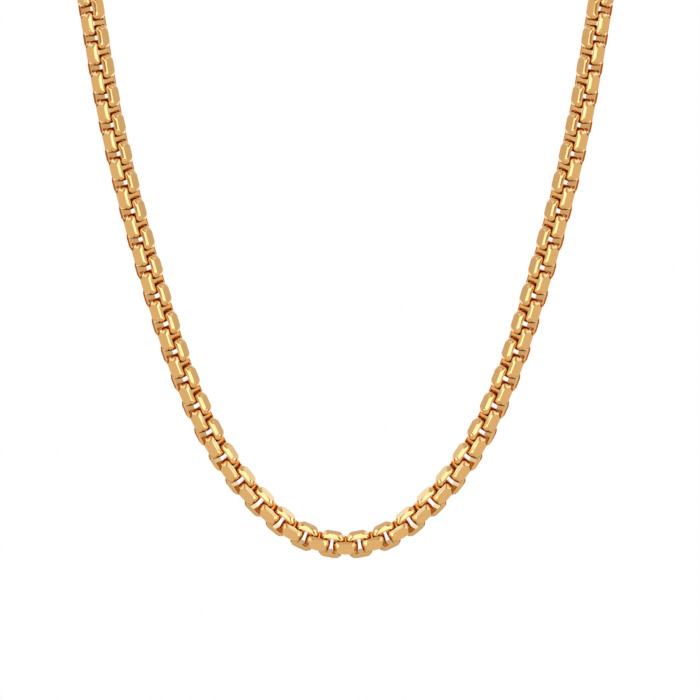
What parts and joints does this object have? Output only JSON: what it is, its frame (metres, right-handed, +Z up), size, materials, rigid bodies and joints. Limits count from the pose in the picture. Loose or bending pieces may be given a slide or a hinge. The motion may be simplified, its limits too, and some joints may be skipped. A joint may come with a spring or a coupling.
{
  "type": "box chain necklace",
  "caption": "Heavy box chain of interlocking square links in yellow gold colour, hanging as worn, closed at the nape by a plain clasp.",
  "frame": {"origin": "on the skin at the nape, midway behind the clasp, where the necklace rests when it is worn", "axes": "+Z up the neck, -Y from the nape to the hanging front, +X to the viewer's right of the front"},
  "size_m": [0.1198, 0.1028, 0.1707],
  "materials": {
    "chain_gold": "polished",
    "clasp_gold": "polished"
  },
  "bodies": {
    "root": {"links_left": "chain_gold", "links_right": "chain_gold", "ring_left": "clasp_gold", "ring_right": "clasp_gold", "clasp": "clasp_gold"}
  },
  "joints": []
}
